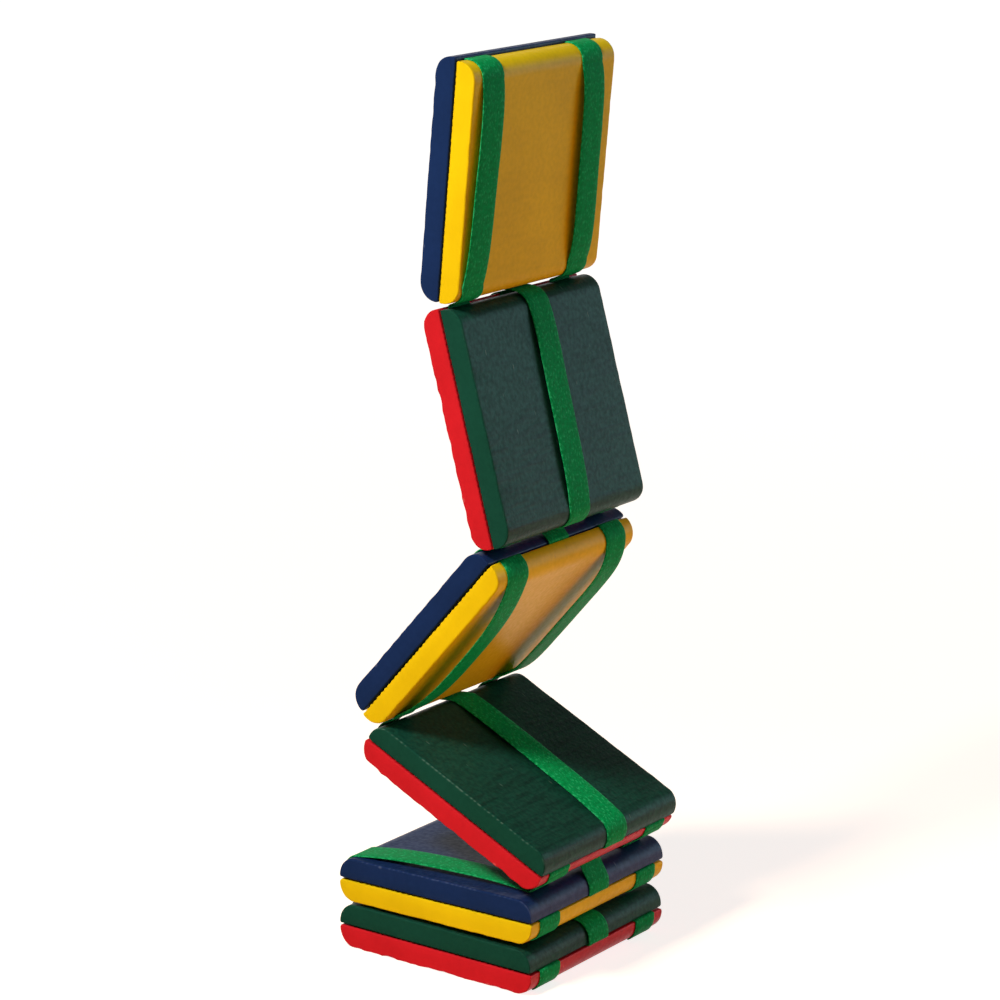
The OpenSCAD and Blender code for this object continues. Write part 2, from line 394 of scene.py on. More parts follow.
def enamel(colour, finish):
    # To the eye, enamel is one deep even colour. A soft sheen lies on the planed faces and none
    # on the sawn sides, speckled by the dimples and by specks of shade painted in them. Wood
    # shows pale where an edge is rubbed, and pale glints are painted along its saw steps.
    material, tree = new_material(f"{colour}_enamel_on_{finish}_wood")
    grain_shows = GRAIN_SHOWS[colour] * PATTERN_LEFT[finish]
    peel_and_specks_show = PEEL_AND_SPECKS_SHOW[colour] * PATTERN_LEFT[finish]
    place = add_node(tree, "ShaderNodeTexCoord").outputs["Object"]
    grain, peel, patch = paint_patterns(tree, place)
    bare = add_node(
        tree, "ShaderNodeMapRange", Value=patch, From_Min=0.40, From_Max=0.60, To_Min=LEAST_GRAIN
    ).outputs[0]
    streak = add_node(
        tree, "ShaderNodeMapRange", Value=grain, From_Min=0.45, From_Max=0.70, To_Max=grain_shows
    ).outputs[0]
    pore, ridges = [
        add_node(tree, "ShaderNodeMath", {"operation": "MULTIPLY"}, _0=x, _1=bare).outputs[0]
        for x in (streak, grain)
    ]
    # Specks of shade painted in the dimples stand in for the speckled sheen of the orange peel
    painted_speck = add_node(
        tree, "ShaderNodeMapRange", Value=peel, From_Min=0.35, From_Max=0.65, To_Max=peel_and_specks_show
    ).outputs[0]
    # Pale bare wood where an edge is worn, and pale painted glints along its saw steps
    painted = add_node(
        tree, "ShaderNodeMix", TINT, _0=wear_and_glint_share(tree, place),
        _6=coat_colour(tree, colour, patch, pore, painted_speck), _7=linear(WORN_AND_GLINT[colour]),
    ).outputs[2]
    shine = add_node(
        tree, "ShaderNodeMapRange", Value=peel, From_Min=0.3, From_Max=0.7,
        To_Min=ROUGHNESS[finish] - SHINE_VARIES, To_Max=ROUGHNESS[finish] + SHINE_VARIES,
    ).outputs[0]
    finish_material(tree, add_node(
        tree, "ShaderNodeBsdfPrincipled", Base_Color=painted, Roughness=shine,
        Normal=paint_relief(tree, ridges, grain_shows, peel, peel_and_specks_show),
        IOR=PAINT_IOR, Specular_IOR_Level=GLOSS[finish] * GLOSS_LEFT[colour],
    ))
    return material


paints = {(colour, finish): enamel(colour, finish) for colour in PAINTS for finish in GLOSS}
print("paint finishes:", len(paints))

# %% [markdown]
# ## Slats
# A slat is a loft: rings across the block, one behind the other along its length. Near an
# end the rings get lower along a quarter circle, which gives the rounded outer corner. A
# bevelled box would be quicker, but no two of these edges are alike: the saw left scallops
# along the joint and a lumpy outer edge. So each ring's corners are moved by a little
# seeded noise.

# %% How the slats differ
# How much shorter a slat is than its block at its top and bottom ends, in mm
SHORT_ENDS = {
    (1, FRONT): (0.7, 0.0),
    (2, FRONT): (0.5, 0.0),
    (3, BACK): (0.2, 0.3),
    (4, FRONT): (0.4, 0.0),
    (6, FRONT): (0.0, 0.3),
}
# Depth of the scallops on the joint and of the lumps on the outer edge, in mm
SCALLOPS = {(3, FRONT): 0.32, (4, FRONT): 0.25, (5, FRONT): 0.25}
LUMPS = {(2, BACK): 0.7, (4, BACK): 0.8, (6, BACK): 0.7, (1, BACK): 0.4}
LIGHT_SCALLOP, LIGHT_LUMP = 0.15, 0.25
# How far the outer edges of a slat are rubbed, with pale glints painted along their saw steps, from
# 0 to 1
RUB_AND_GLINT = {(4, FRONT): 0.35, (5, BACK): 0.2}
FAINT_RUB_AND_GLINT = 0.03
print("slats with a lumpy edge:", len(LUMPS), "of", 2 * len(BLOCKS))

# %% Rings along a slat
RING_STEP = 0.3
ROUND_RINGS = 9


def ring_distances(length):
    """Distances of the rings from a slat's top end, close together over the rounded ends."""
    angles = [math.pi / 2 * i / ROUND_RINGS for i in range(ROUND_RINGS)]
    turn = [END_RADIUS * (1 - math.cos(angle)) for angle in angles]
    straight = length - 2 * END_RADIUS
    steps = round(straight / RING_STEP)
    flat = [END_RADIUS + straight * i / steps for i in range(steps + 1)]
    return turn + flat + [length - x for x in reversed(turn)]


print("rings on a full slat:", len(ring_distances(BLOCK_LENGTH)))

# %% [markdown]
# ### Saw marks
# A saw bites in steps, so the edge where it goes in is scalloped, and the edge where it
# comes out is lumpy. A Displace modifier could roughen the whole slat, but only these edges
# are rough. So a few smooth noises say, at each ring, how deep a scallop and a lump are,
# how wide the slat is and how far its edge is rubbed. The same mark beats at the saw steps,
# and so paints pale glints in a row along the edge, where the steps would catch the light.
# The slat's number picks the place in the noise, so every run gives the same marks.

# %% Saw marks
SAW_PITCH = 1.5
GLINT_PITCH = 1.35
SIDE_ROOM = 0.05
SEED_STEP = 7.3
MEAN_SCALLOP = 0.65
GLINT_BEAT = 0.6
# Size in mm, row and strength of each noise
WAVES = {
    "bite": (5, 2, 0.5), "scallop": (4, 3, 0.5),
    "lump": (5.0, 5, 0.8), "small_lump": (1.8, 9, 0.2), "width": (9, 1, 0.1),
    "beat": (4, 13, 3), "rub_and_glint": (5, 11, 1.8), "fine_rub_and_glint": (1.1, 17, 1.2),
}


def saw_marks(along, seed, y_side, scallop_depth, lump_depth):
    """Depth of a scallop and of a lump, half width, and rubbing with painted glints at one place on
    a side.
    """
    def waver(wave):
        size, row, strength = WAVES[wave]
        return strength * noise.noise(Vector((along / size, seed * SEED_STEP, y_side * row)))

    bite = abs(math.sin(math.pi * (along + waver("bite")) / SAW_PITCH + seed))
    scallop = scallop_depth * bite * (MEAN_SCALLOP + waver("scallop"))
    lump = lump_depth * abs(waver("lump") + waver("small_lump"))
    width = HALF_WIDTH - SIDE_ROOM - abs(waver("width"))
    # The beat paints pale glints in a row along the edge, where the saw steps catch the light
    beat = math.sin(2 * math.pi * along / GLINT_PITCH + waver("beat"))
    rub_and_glint = max(0.0, GLINT_BEAT * beat + waver("rub_and_glint") + waver("fine_rub_and_glint"))
    return scallop, lump, width, rub_and_glint


print("scallops on a side: about", round(BLOCK_LENGTH / SAW_PITCH))

# %% One side of a ring
SIDE_POINTS = 6
# How much of the outer corner's rubbing and painted glints the joint's corner and the edge of the
# side take
JOINT_RUB_AND_GLINT, SIDE_RUB_AND_GLINT = 0.3, 0.2


def side_points(width, low, high, corner, rub_and_glint):
    """The points of a side from the joint to the face, as (y, n, edge), with eased corners."""
    bend = corner * (1 - math.sqrt(0.5))
    return [
        (width - bend, low + bend, JOINT_RUB_AND_GLINT * rub_and_glint),
        (width, low + corner, 0.0),
        (width, (low + high) / 2, 0.0),
        (width, high - 1.5 * corner, 0.0),
        (width, high - corner, SIDE_RUB_AND_GLINT * rub_and_glint),
        (width - bend, high - bend, min(1.0, rub_and_glint)),
    ]


print("points on a side:", SIDE_POINTS)

# %% One ring of a slat
EASED_EDGE = 0.3
# Places of the points across a slat, and how much of an edge's unevenness each one takes
COLUMNS = (-1.0, -0.985, -0.95, -0.66, -0.33, 0.0, 0.33, 0.66, 0.95, 0.985, 1.0)
UNEVEN = {1.0: 1.0, 0.985: 0.8}


def slat_ring(along, from_end, seed, scallop_depth, lump_depth):
    """One ring of a slat, as (y, n, edge) from the joint face round to the outer face."""
    rise = max(0.0, END_RADIUS - from_end)
    outer = ROUND_N + math.sqrt(END_RADIUS ** 2 - rise ** 2)
    ease = max(0.0, EASED_EDGE - from_end)
    inner = HALF_RIBBON + EASED_EDGE - math.sqrt(EASED_EDGE ** 2 - ease ** 2)
    corner = min(EASED_EDGE, (outer - inner) / 3)
    deepest = (outer - inner) / 4
    sides, notch, drop = {}, {}, {}
    for y_side in (-1, 1):
        scallop, lump, width, rub_and_glint = saw_marks(along, seed, y_side, scallop_depth, lump_depth)
        notch[y_side], drop[y_side] = min(deepest, scallop), min(deepest, lump)
        points = side_points(width, inner + notch[y_side], outer - drop[y_side], corner, rub_and_glint)
        sides[y_side] = [(y_side * y, n, edge) for y, n, edge in points]
    reach = HALF_WIDTH - SIDE_ROOM - corner
    joint_row, face_row = [], []
    for x in COLUMNS:
        uneven, y_side = UNEVEN.get(abs(x), 0.0), 1 if x > 0 else -1
        joint_row.append((x * reach, inner + uneven * notch[y_side], 0.0))
        face_row.append((x * reach, outer - uneven * drop[y_side], 0.0))
    return joint_row + sides[1] + face_row[::-1] + sides[-1][::-1]


RING_POINTS = 2 * (len(COLUMNS) + SIDE_POINTS)
print("points in a ring:", RING_POINTS)

# %% [markdown]
# ### From rings to a mesh
# The rings are joined by faces, and the first and last one are closed with a few more. The
# faces on the sawn sides take the matt paint, and all others the soft gloss. Blender could
# bridge the edge loops itself, but the code then wouldn't know which faces are sawn.

# %% Points of a slat
def slat_points(block, side):
    """All points of a slat in its block's own directions, and how far each one is marked by rubbing
    and painted glints.
    """
    place = (block, side)
    short_top, short_bottom = SHORT_ENDS.get(place, (0.0, 0.0))
    scallop, lump = SCALLOPS.get(place, LIGHT_SCALLOP), LUMPS.get(place, LIGHT_LUMP)
    rub_and_glint_level = RUB_AND_GLINT.get(place, FAINT_RUB_AND_GLINT)
    length = BLOCK_LENGTH - short_top - short_bottom
    verts, edge = [], []
    for along in ring_distances(length):
        u = along - HALF_LENGTH + short_top
        from_end = min(along, length - along)
        for y, n, mark in slat_ring(u, from_end, block * 2 + side, scallop, lump):
            verts.append(Vector((u, y, side * n)) * MM)
            edge.append(mark * rub_and_glint_level)
    return verts, edge


print("points of block 1's front slat:", len(slat_points(1, FRONT)[0]))

# %% Faces of a slat
def slat_faces(rings):
    """Faces between the rings and over the end rings, with 1 for a sawn face and 0 otherwise."""
    columns = len(COLUMNS)
    last_face_point = 2 * columns + SIDE_POINTS - 1
    right_side = list(range(columns - 1, columns + SIDE_POINTS + 1))
    left_side = list(range(last_face_point, RING_POINTS)) + [0]
    sawn = set(right_side[:-1] + left_side[:-1])
    faces, finishes = [], []
    for start in range(0, (rings - 1) * RING_POINTS, RING_POINTS):
        after = start + RING_POINTS
        for i in range(RING_POINTS):
            j = (i + 1) % RING_POINTS
            faces.append((start + i, after + i, after + j, start + j))
            finishes.append(1 if i in sawn else 0)
    for start, order in ((0, 1), ((rings - 1) * RING_POINTS, -1)):
        caps = [right_side, left_side]
        for i in range(columns - 1):
            caps.append((i, i + 1, last_face_point - 1 - i, last_face_point - i))
        faces += [tuple(start + i for i in cap)[::order] for cap in caps]
        finishes += [0] * len(caps)
    return faces, finishes


print("faces of a full slat:", len(slat_faces(len(ring_distances(BLOCK_LENGTH)))[0]))

# %% Make the slats
def make_slat(block, side, colour):
    verts, edge = slat_points(block, side)
    faces, finishes = slat_faces(len(verts) // RING_POINTS)
    if side == FRONT:
        faces = [face[::-1] for face in faces]
    mesh = bpy.data.meshes.new(f"block_{block}_{colour}_painted_slat")
    mesh.from_pydata(verts, [], faces)
    mesh.attributes.new("edge", "FLOAT", "POINT").data.foreach_set("value", edge)
    mesh.shade_smooth()
    mesh.materials.append(paints[colour, "planed"])
    mesh.materials.append(paints[colour, "sawn"])
    mesh.polygons.foreach_set("material_index", finishes)
    slat = bpy.data.objects.new(mesh.name, mesh)
    bpy.context.collection.objects.link(slat)
    slat.matrix_world = block_matrix(block)
    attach(slat, f"block_{block}")
    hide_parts(f"block_{block}_{colour}_slat")
    return slat


slats = []
for block in BLOCKS:
    front_colour, back_colour = ("yellow", "blue") if block % 2 else ("green", "red")
    slats += [make_slat(block, FRONT, front_colour), make_slat(block, BACK, back_colour)]
print("slats:", len(slats), "faces in all:", sum(len(s.data.polygons) for s in slats))

# %% [markdown]
# ## Satin ribbon
# The ribbon is a narrow polyester satin, woven with long floats that lie along it. Bundles
# of filaments catch the light one by one, so it shines softly in its own green and sparkles
# in dots, most of all along its two firm edges, the selvedges. A fabric image could show
# this, but the strips below bend and drift. So each point of a strip carries its place along and
# across the ribbon, and noise in those two numbers follows every bend.

# %% Lay of the weave
MOTTLE_SIZE = 0.9
# The filaments are far too fine for this picture, so the sparkle is ten times coarser
SPARKLE_SIZE = 0.5
FLOATS_STRETCH = 0.6


def weave_patterns(tree):
    """The place across the ribbon, a soft mottle and the sparkle of the floats."""
    along, across = [
        add_node(tree, "ShaderNodeAttribute", {"attribute_name": name}).outputs["Fac"]
        for name in ("along_mm", "across_mm")
    ]
    lay = add_node(tree, "ShaderNodeCombineXYZ", X=along, Y=across).outputs[0]
    mottle = add_node(
        tree, "ShaderNodeTexNoise",
        Vector=lay, Scale=1 / MOTTLE_SIZE, Detail=2.0, Roughness=0.6,
    ).outputs["Fac"]
    floats = add_node(
        tree, "ShaderNodeMapping",
        Vector=lay, Scale=(FLOATS_STRETCH / SPARKLE_SIZE, 1 / SPARKLE_SIZE, 1.0),
    ).outputs[0]
    sparkle = add_node(
        tree, "ShaderNodeTexNoise", Vector=floats, Scale=1.0, Detail=1.0, Roughness=0.5
    ).outputs["Fac"]
    return across, mottle, sparkle


print("sparkles across the ribbon: about", round(RIBBON_WIDTH / SPARKLE_SIZE))

# %% Greens of the ribbon
RIBBON_GREEN = "#0A9A50"
RIBBON_DARK = "#07803F"
# Paler green of the sparkle dots, which are painted highlights
SPARKLE_LIGHT = "#3FCF80"
SPARKLE_SHOWS = 0.48
SELVEDGE_WIDTH = 0.5
SELVEDGE_LIGHT = 0.12


# The sparkle is painted: paler green dots mixed into the colour where the floats would catch the
# light, thicker along the selvedges
def ribbon_colour(tree, across, mottle, sparkle):
    shade = add_node(
        tree, "ShaderNodeMapRange", Value=mottle, From_Min=0.35, From_Max=0.65
    ).outputs[0]
    weave = add_node(
        tree, "ShaderNodeMix", TINT, _0=shade, _6=linear(RIBBON_DARK), _7=linear(RIBBON_GREEN)
    ).outputs[2]
    from_middle = add_node(
        tree, "ShaderNodeMath", {"operation": "ABSOLUTE"}, _0=across
    ).outputs[0]
    selvedge = add_node(
        tree, "ShaderNodeMapRange", Value=from_middle, To_Max=SELVEDGE_LIGHT,
        From_Min=RIBBON_WIDTH / 2 - SELVEDGE_WIDTH, From_Max=RIBBON_WIDTH / 2,
    ).outputs[0]
    lit = add_node(
        tree, "ShaderNodeMath", {"operation": "ADD"}, _0=sparkle, _1=selvedge
    ).outputs[0]
    dots = add_node(
        tree, "ShaderNodeMapRange", Value=lit, From_Min=0.57, From_Max=0.68, To_Max=SPARKLE_SHOWS
    ).outputs[0]
    return add_node(
        tree, "ShaderNodeMix", TINT, _0=dots, _6=weave, _7=linear(SPARKLE_LIGHT)
    ).outputs[2]


print("ribbon greens:", RIBBON_DARK, "to", RIBBON_GREEN, "with dots of", SPARKLE_LIGHT)

# %% Satin
SATIN_IOR = 1.53
SATIN_GLOSS = 0.03
SATIN_SHEEN = 0.04
SHEEN_ROUGHNESS = 0.45
SHINE_COLOUR = "#3FD77A"
FLOAT_RELIEF = 0.5
FLOAT_DEPTH = 0.12 * MM


def satin():
    # To the eye, satin is a deep green in the shade and a bright, dotted green in the
    # light, never white: its shine has the ribbon's own colour.
    material, tree = new_material("green_polyester_satin_ribbon")
    across, mottle, sparkle = weave_patterns(tree)
    bump = add_node(
        tree, "ShaderNodeBump", Strength=FLOAT_RELIEF, Distance=FLOAT_DEPTH, Height=sparkle
    ).outputs[0]
    roughness = add_node(
        tree, "ShaderNodeMapRange",
        Value=mottle, From_Min=0.3, From_Max=0.7, To_Min=0.42, To_Max=0.56,
    ).outputs[0]
    finish_material(tree, add_node(
        tree, "ShaderNodeBsdfPrincipled",
        Base_Color=ribbon_colour(tree, across, mottle, sparkle),
        Normal=bump, Roughness=roughness, IOR=SATIN_IOR,
        Specular_IOR_Level=SATIN_GLOSS, Specular_Tint=linear(SHINE_COLOUR),
        Sheen_Weight=SATIN_SHEEN, Sheen_Roughness=SHEEN_ROUGHNESS,
        Sheen_Tint=linear(SHINE_COLOUR),
    ))
    return material


satin_ribbon = satin()
print("ribbon finish:", satin_ribbon.name)

# %% [markdown]
# ## A strip of ribbon
# The ribbon's edges carry tiny woven loops, called picots. A curve with a flat profile could
# make a strip, but its edges would be plain. So a strip is swept by hand along a route, which
# is a line in the plane of X and Z, in short, even steps of half a picot. Then the two edges
# can go in and out with the picots.

# %% Even steps along a route
PICOT_PITCH = 0.6
RIBBON_STEP = PICOT_PITCH / 2


def even_steps(points, step):
    """The same route with points at even distances."""
    marks = [0.0]
    for p, q in zip(points, points[1:]):
        marks.append(marks[-1] + abs(q - p))
    count = max(2, round(marks[-1] / step))
    out, i = [], 0
    for n in range(count + 1):
        at = marks[-1] * n / count
        while i < len(points) - 2 and marks[i + 1] < at:
            i += 1
        span = marks[i + 1] - marks[i]
        share = (at - marks[i]) / span if span else 0
        out.append(points[i] + (points[i + 1] - points[i]) * share)
    return out


print("steps along a block's face:", len(even_steps([0j, BLOCK_LENGTH + 0j], RIBBON_STEP)) - 1)

# %% Points of a strip
PICOT_DEPTH = 0.09
PICOT_THINS = 0.5
SELVEDGE_RISE = 0.03
SELVEDGE_CORD = 3.5
RIBBON_COLUMNS = (-3.8, -SELVEDGE_CORD, -1.8, 0.0, 1.8, SELVEDGE_CORD, 3.8)
# How far a loose ribbon wanders sideways and ripples, and over what length, in mm
WANDER, WANDER_LENGTH, WANDER_ROW = 0.16, 14, 2.7
RIPPLE, RIPPLE_LENGTH, RIPPLE_WIDTH = 0.035, 3.5, 4


def strip_points(route, track, drift, seed):
    """The points of a strip, each with its place along and across the ribbon in mm."""
    points = even_steps(route, RIBBON_STEP)
    last = len(points) - 1
    verts, along, across = [], [], []
    for i, p in enumerate(points):
        tangent = points[min(i + 1, last)] - points[max(i - 1, 0)]
        normal = 1j * tangent / abs(tangent)
        at, share = i * RIBBON_STEP, i / last
        loose = math.sin(math.pi * share)
        shift = TRACKS[track] + drift[0] + (drift[1] - drift[0]) * share
        shift += WANDER * loose * noise.noise(Vector((at / WANDER_LENGTH, seed, WANDER_ROW)))
        for face in (1, -1):
            for y in RIBBON_COLUMNS:
                at_edge, on_cord = abs(y) == RIBBON_WIDTH / 2, abs(y) == SELVEDGE_CORD
                picot = math.copysign(PICOT_DEPTH if i % 2 else -PICOT_DEPTH, y) * at_edge
                thins = PICOT_THINS if at_edge else 1
                lift = face * (HALF_RIBBON * thins + SELVEDGE_RISE * on_cord)
                wave = noise.noise(Vector((at / RIPPLE_LENGTH, y / RIPPLE_WIDTH, seed)))
                q = p + (lift + RIPPLE * loose * wave) * normal
                verts.append(Vector((q.real, shift + (y + picot), q.imag)) * MM)
                along.append(at)
                across.append(y)
    return verts, along, across


STRIP_RING = 2 * len(RIBBON_COLUMNS)
print("points round a strip:", STRIP_RING)

# %% Faces of a strip
def strip_faces(rings):
    count = len(RIBBON_COLUMNS)
    order = list(range(count)) + list(range(STRIP_RING - 1, count - 1, -1))
    faces = []
    for start in range(0, (rings - 1) * STRIP_RING, STRIP_RING):
        after = start + STRIP_RING
        for a, b in zip(order, order[1:] + order[:1]):
            faces.append((start + a, start + b, after + b, after + a))
    last = (rings - 1) * STRIP_RING
    for c in range(count - 1):
        faces.append((c, count + c, count + c + 1, c + 1))
        faces.append((last + c, last + c + 1, last + count + c + 1, last + count + c))
    return faces


print("faces in one step of a strip:", len(strip_faces(3)) - len(strip_faces(2)))

# %% Make a strip
SHARP_ANGLE = math.radians(50)
STRAIGHT = (0.0, 0.0)


def make_strip(name, route, track, drift=STRAIGHT, seed=0):
    """A ribbon along a route of world points. Its middle is at track plus a drift from start
    to end."""
    verts, along, across = strip_points(route, track, drift, seed)
    mesh = bpy.data.meshes.new(name)
    mesh.from_pydata(verts, [], strip_faces(len(verts) // STRIP_RING))
    mesh.attributes.new("along_mm", "FLOAT", "POINT").data.foreach_set("value", along)
    mesh.attributes.new("across_mm", "FLOAT", "POINT").data.foreach_set("value", across)
    mesh.shade_smooth()
    mesh.set_sharp_from_angle(angle=SHARP_ANGLE)
    mesh.materials.append(satin_ribbon)
    strip = bpy.data.objects.new(name, mesh)
    bpy.context.collection.objects.link(strip)
    return strip


print("a strip's edges are sharp above", round(math.degrees(SHARP_ANGLE)), "degrees")

# %% [markdown]
# ## Routes on a block
# There are two ways past a block. A wrapping ribbon lies on one face, turns round the bottom
# end into the joint, comes out at the top end and lies on the other face. A passing ribbon
# only goes straight through the joint. Outer and centre ribbons change places from block to
# block. A route could be drawn as a Bezier curve, but these are only lines and arcs, whose
# sizes follow from the block's.

# %% Round an end
SURFACE = HALF_THICKNESS + HALF_RIBBON
END_LINE = HALF_LENGTH + HALF_RIBBON
WRAP_RADIUS = END_RADIUS + HALF_RIBBON
# Radius of the bend into the joint in mm, and the step of an arc in degrees
JOINT_BEND = 0.3
ARC_STEP = 4


def arc(centre, radius, start, end):
    """Points round a centre from one direction to another, in degrees."""
    steps = max(2, round(abs(end - start) / ARC_STEP))
    return [
        centre + cmath.rect(radius, math.radians(start + (end - start) * i / steps))
        for i in range(steps + 1)
    ]


def end_route(end, side, round_cover=90.0):
    """From the joint, over the flat of an end and round its corner towards the face."""
    centre = complex(end * (END_LINE - JOINT_BEND), side * JOINT_BEND)
    middle_angle = 0.0 if end == BOTTOM else 180.0
    turn = end * side
    route = arc(centre, JOINT_BEND, middle_angle - turn * 90, middle_angle)
    route.append(complex(end * END_LINE, side * ROUND_N))
    if round_cover:
        corner = complex(end * ROUND_U, side * ROUND_N)
        route += arc(corner, WRAP_RADIUS, middle_angle, middle_angle + turn * round_cover)
    return route


print("points round an end:", len(end_route(TOP, FRONT)))

# %% Through the joint
def wrap_route(first_side, top_cover=90.0):
    """From the end of one face, through the joint, to the start of the other face."""
    return end_route(BOTTOM, first_side)[::-1] + end_route(TOP, -first_side, top_cover)


def pass_route(first_side):
    return end_route(TOP, first_side, 0)[::-1] + end_route(BOTTOM, -first_side, 0)


wrap = wrap_route(BACK)
print("a wrap is", round(sum(abs(q - p) for p, q in zip(wrap, wrap[1:])), 1), "mm long")

# %% [markdown]
# ### Slack on a face
# Some lengths lie a little loose, and under block 3 they hang in a clear bow. A cloth
# simulation could let them sag, but a formula is quicker and bows each one as far as it
# should. It is a curve of |s| to a power: 2 is a round bow, and a high power is flat in the
# middle with steep ends. The bow under block 3 is so high that the ribbon leaves the rounded
# end early, along its tangent, and a few rounds of trial find that angle.

# %% Along a face
TANGENT_ROUNDS = 30
FACE_STEPS = 60


def lift_off(bow, power):
    """How far round its end, in degrees, a bowed ribbon leaves the wood along its tangent."""
    angle = 0.0
    for _ in range(TANGENT_ROUNDS):
        rise = bow + WRAP_RADIUS * (1 - math.cos(angle))
        angle = math.atan(power * rise / (ROUND_U + WRAP_RADIUS * math.sin(angle)))
    return math.degrees(angle)


def face_route(side, bow, power, top_angle=0.0, drop=0.0):
    """Along a face from the top to the bottom end, lifted by a bow in the middle."""
    angle = math.radians(top_angle)
    sunk = WRAP_RADIUS * (1 - math.cos(angle))
    upper, lower = ROUND_U + WRAP_RADIUS * math.sin(angle) - drop, ROUND_U
    route = []
    for i in range(FACE_STEPS + 1):
        s = 2 * i / FACE_STEPS - 1
        if s < 0:
            u, rise = s * upper, (bow + sunk) * (1 - abs(s) ** power) - sunk
        else:
            u, rise = s * lower, bow * (1 - s ** power)
        route.append(complex(u, side * (SURFACE + rise)))
    return route


print("a 3 mm bow leaves the wood", round(lift_off(3.0, 3), 1), "degrees round the end")

# %% How the ribbons lie
# Bow off the face in mm and its power, by block, track and side
BOWS = {
    (1, "left", FRONT): (1.0, 5),
    (1, "right", FRONT): (1.3, 6),
    (2, "centre", FRONT): (0.7, 6),
    (3, "left", FRONT): (3.0, 3),
    (3, "right", FRONT): (2.7, 6),
    (4, "centre", FRONT): (0.6, 4),
    (5, "left", BACK): (1.2, 3),
    (5, "right", BACK): (0.9, 3),
}
FLAT = (0.0, 3)
# Sideways drift in mm at the top and bottom end of a face
DRIFTS = {
    (1, "left", FRONT): (-0.7, -2.6),
    (1, "right", FRONT): (-1.7, -1.2),
    (2, "centre", FRONT): (2.2, 0.8),
    (4, "centre", FRONT): (3.2, 2.0),
    (5, "left", BACK): (1.4, -1.9),
}
print("bowed lengths:", len(BOWS), "drifting lengths:", len(DRIFTS))

# %% [markdown]
# ## Ribbons of the blocks
# A ribbon could be one long strip, but a strip rides on one block. So each length on a block
# is a strip of its own, and they meet end to end. The loose lengths are made apart from the
# wraps that hold them, and a bowed one gets a mesh of its own. In the first block every
# ribbon starts inside the joint, in the glue. In the last one the centre ribbon ends there
# too, and the outer ones come out and end just above the table.

# %% Hold a strip to its block
strips = []


def on_block(block, route):
    return [middle[block] + direction[block] * p for p in route]


def hold(strip, block, node, bow=0.0):
    """Rides a strip on its block, and gives a bowed one a mesh of its own."""
    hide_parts(node)
    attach(strip, f"block_{block}")
    if bow:
        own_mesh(strip)
    strips.append(strip)


# %% A length on a face
def lay_face(block, track, side):
    bow, power = BOWS.get((block, track, side), FLAT)
    slack = block == 3 and side == FRONT
    node = f"block_{block}_{track}_slack_ribbon" if slack else f"block_{block}_{track}_ribbon"
    name = f"block_{block}_{track}_{'front' if side == FRONT else 'back'}_satin"
    drift = DRIFTS.get((block, track, side), STRAIGHT)
    angle = lift_off(bow, power) if slack else 0.0
    drop = SHORT_ENDS[1, FRONT][0] if block == 1 else 0.0
    route = on_block(block, face_route(side, bow, power, angle, drop))
    hold(make_strip(name, route, track, drift, block * 3 + side), block, node, bow)


print("a face is", round(2 * ROUND_U, 1), "mm long between its rounded ends")

# %% A length in a joint
TAIL_LENGTH = 20.0
# How far the outer ribbons' ends go round the last block's lower corner, in degrees
TAIL_COVER = 63.0


def joint_route(block, track, wraps, first_side):
    """The way of a ribbon through a block's joint, or from its start or to its end there."""
    if block == 1 and wraps:
        drop = SHORT_ENDS[1, FRONT][0]
        return [complex(TAIL_LENGTH - HALF_LENGTH, 0)] + [p + drop for p in end_route(TOP, FRONT)]
    if block == 1:
        return [complex(HALF_LENGTH - TAIL_LENGTH, 0)] + end_route(BOTTOM, FRONT, 0)
    if block == 6 and wraps:
        return end_route(BOTTOM, FRONT)[::-1] + [complex(HALF_LENGTH - TAIL_LENGTH, 0)]
    if block == 6:
        return end_route(TOP, FRONT, 0)[::-1] + end_route(BOTTOM, BACK, TAIL_COVER)
    if wraps:
        lifted = lift_off(*BOWS[3, track, FRONT]) if block == 3 else 0.0
        return wrap_route(first_side, 90.0 - lifted)
    return pass_route(first_side)


print("the glued tails are", TAIL_LENGTH, "mm long")

# %% Lay the ribbons on the blocks
for block in BLOCKS:
    odd = block % 2 == 1
    first_side = BACK if odd else FRONT
    for track in TRACKS:
        wraps = odd != (track == "centre")
        drift = STRAIGHT
        if wraps:
            if block != 1:
                lay_face(block, track, first_side)
            if block != 6:
                lay_face(block, track, -first_side)
            before = DRIFTS.get((block, track, first_side), STRAIGHT)
            after = DRIFTS.get((block, track, -first_side), STRAIGHT)
            drift = (before[1], after[0])
        route = on_block(block, joint_route(block, track, wraps, first_side))
        strip = make_strip(f"block_{block}_{track}_joint_satin", route, track, drift)
        hold(strip, block, f"block_{block}_{track}_ribbon")
print("ribbon lengths on the blocks:", len(strips))

# %% [markdown]
# ## Crossings
# At a hinge a ribbon leaves the face of one block, bends over its round end, passes between
# the two blocks and lands on the end of the other. An armature could bend it there. Here a
# crossing is made as two strips that meet midway between the axes of the hinge, and each
# stays where it is made, in the world.

# %% Route of a crossing
# Room between a crossing and the wood
CROSSING_ROOM = 0.05
CROSSING_RADIUS = END_RADIUS + CROSSING_ROOM + HALF_RIBBON
TURN_STEPS = 16


